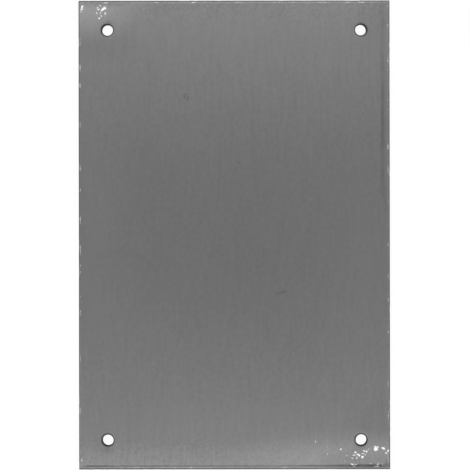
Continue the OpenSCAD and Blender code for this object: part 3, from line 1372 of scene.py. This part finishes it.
class STEELPLATE_OT_make_plate(bpy.types.Operator):
    """Make the plate's own mesh, with its relief and its finishes"""

    bl_idname = "steelplate.make_plate"
    bl_label = "Make plate"

    def execute(self, context):
        sizes = context.scene.plate_sizes
        finish = context.scene.plate_finish
        flecks = corner_flecks(sizes)
        dashes = edge_dashes(sizes)
        groups = {
            "grain": grain_group(),
            "wear": arris_wear_and_shade_group(sizes, finish),
            "flecks": spots_group("Flecks", flecks, fade=1.15, rag=0.8 * MM, thinnest=0.6),
            "dashes": spots_group("Edge dashes", dashes, fade=1.25, rag=0.4 * MM, thinnest=0.25),
            "marks": spots_group("Dark marks", dark_marks(), fade=1.25, rag=0.6 * MM, thinnest=0.7),
        }
        materials = {
            "upper_face": brushed_material("brushed_upper_face", sizes, finish, groups, seen=True),
            "under_face": brushed_material("brushed_under_face", sizes, finish, groups, seen=False),
            "sheared_edge": sheared_material(finish, sizes, groups),
            "drilled_wall": drilled_material(finish, groups),
        }
        carrier = bpy.data.objects.new("plate_blank", PlateMesh(sizes, finish).finished())
        context.scene.collection.objects.link(carrier)
        tree = relief_tree(sizes, materials)
        relief = carrier.modifiers.new("Plate relief", "NODES")
        relief.node_group = tree
        values = {
            "Nick depth": finish.nick_depth,
            "Fracture depth": finish.fracture_depth,
            "Wave depth": finish.wave_depth,
            "Seed": float(finish.seed),
        }
        for item in tree.interface.items_tree:
            if item.in_out == "INPUT" and item.name in values:
                relief[item.identifier] = values[item.name]
        plate = bpy.data.objects.new("steel_plate", plain_mesh(carrier, "steel_plate"))
        context.scene.collection.objects.link(plate)
        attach(plate, "root")
        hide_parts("plate")
        return {"FINISHED"}


def floor_material(stage):
    """A pale floor that shows as white and keeps a faint shadow."""
    pale = (0.95, 0.95, 0.95, 1.0)
    white = (1.0, 1.0, 1.0, 1.0)
    material, tree = new_material("pale_floor")
    path = add_node(tree, "ShaderNodeLightPath").outputs
    shown = calculate(
        tree, "MAXIMUM", path["Is Camera Ray"], path["Is Glossy Ray"], path["Is Transmission Ray"]
    )
    matt = add_node(tree, "ShaderNodeBsdfDiffuse", {"Color": pale})
    glow = add_node(tree, "ShaderNodeEmission", {"Color": white, "Strength": 1.0})
    share = calculate(tree, "MULTIPLY", shown, stage.floor_glow)
    mixed = add_node(tree, "ShaderNodeMixShader", {0: share, 1: matt.outputs[0], 2: glow.outputs[0]})
    add_node(tree, "ShaderNodeOutputMaterial", {"Surface": mixed.outputs[0]})
    return material


def add_floor(scene, stage):
    """A square floor, just under the plate so that their faces don't coincide."""
    half = stage.floor_size / 2
    height = -0.05 * MM
    corners = [(-half, -half, height), (half, -half, height), (half, half, height), (-half, half, height)]
    mesh = bpy.data.meshes.new("floor")
    mesh.from_pydata(corners, [], [(0, 1, 2, 3)])
    mesh.materials.append(floor_material(stage))
    floor = bpy.data.objects.new("floor", mesh)
    scene.collection.objects.link(floor)


def set_world(scene, stage):
    """Soft light from all round, brighter from above than from the level."""
    full_from = 0.75
    world = bpy.data.worlds.new("soft_room")
    scene.world = world
    world.use_nodes = True
    tree = world.node_tree
    upward = split(tree, add_node(tree, "ShaderNodeTexCoord").outputs["Generated"])[2]
    level = ramp(tree, upward, 0.0, full_from, stage.horizon_light, stage.zenith_light)
    set_inputs(tree, tree.nodes["Background"], {"Color": level})


def add_lamps(scene, stage):
    """Two soft boxes above the plate's ends, both facing its middle."""
    middle = (CAD_BOX[0] + CAD_BOX[1]) / 2
    for name, back in (("back_box", 1), ("front_box", -1)):
        data = bpy.data.lights.new(name, "AREA")
        data.shape = "RECTANGLE"
        data.size = stage.lamp_length
        data.size_y = stage.lamp_width
        data.energy = stage.lamp_power
        lamp = bpy.data.objects.new(name, data)
        lamp.location = middle
        lamp.location.y += back * stage.lamp_spread
        lamp.location.z += stage.lamp_height
        lamp.rotation_euler = (middle - lamp.location).to_track_quat("-Z", "Y").to_euler()
        lamp.visible_camera = False
        scene.collection.objects.link(lamp)


def add_camera(scene, stage, sizes):
    """A camera that looks straight down, with the plate where it lies in the photograph."""
    metres_per_pixel = sizes.length / PLATE_LONG_PIXELS
    frame_middle = PHOTO_SIDE / 2
    data = bpy.data.cameras.new("camera")
    data.lens = data.sensor_width * stage.camera_height / (PHOTO_SIDE * metres_per_pixel)
    camera = bpy.data.objects.new("camera", data)
    camera.location = (
        (frame_middle - PLATE_MIDDLE_PIXEL[0]) * metres_per_pixel,
        (PLATE_MIDDLE_PIXEL[1] - frame_middle) * metres_per_pixel,
        sizes.thickness + stage.camera_height,
    )
    camera.rotation_euler.z = math.radians(-PLATE_TURN_DEGREES)
    scene.collection.objects.link(camera)
    scene.camera = camera


class STEELPLATE_OT_set_stage(bpy.types.Operator):
    """Set the floor, the world, the lamps and the camera"""

    bl_idname = "steelplate.set_stage"
    bl_label = "Set stage"

    def execute(self, context):
        scene = context.scene
        add_floor(scene, scene.plate_stage)
        set_world(scene, scene.plate_stage)
        add_lamps(scene, scene.plate_stage)
        add_camera(scene, scene.plate_stage, scene.plate_sizes)
        scene.view_settings.view_transform = "Standard"
        return {"FINISHED"}


class STEELPLATE_PT_sidebar(bpy.types.Panel):
    """Lists the steps and the values that they use"""

    bl_idname = "STEELPLATE_PT_sidebar"
    bl_label = "Steel plate"
    bl_space_type = "VIEW_3D"
    bl_region_type = "UI"
    bl_category = "Steel plate"

    def draw(self, context):
        layout = self.layout
        layout.operator(STEELPLATE_OT_make_plate.bl_idname)
        layout.operator(STEELPLATE_OT_set_stage.bl_idname)
        for name in SETTINGS:
            column = layout.column(align=True)
            settings = getattr(context.scene, name)
            for key in settings.__annotations__:
                column.prop(settings, key)


SETTINGS = {"plate_sizes": PlateSizes, "plate_finish": PlateFinish, "plate_stage": PlateStage}
CLASSES = (*SETTINGS.values(), STEELPLATE_OT_make_plate, STEELPLATE_OT_set_stage, STEELPLATE_PT_sidebar)


def register():
    """Add the classes, and their settings to every scene."""
    for each in CLASSES:
        bpy.utils.register_class(each)
    for name, group in SETTINGS.items():
        setattr(bpy.types.Scene, name, bpy.props.PointerProperty(type=group))


def unregister():
    """Take the settings and the classes away again."""
    for name in SETTINGS:
        delattr(bpy.types.Scene, name)
    for each in reversed(CLASSES):
        bpy.utils.unregister_class(each)


def main():
    """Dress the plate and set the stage."""
    register()
    bpy.ops.steelplate.make_plate()
    bpy.ops.steelplate.set_stage()


if __name__ == "__main__":
    main()
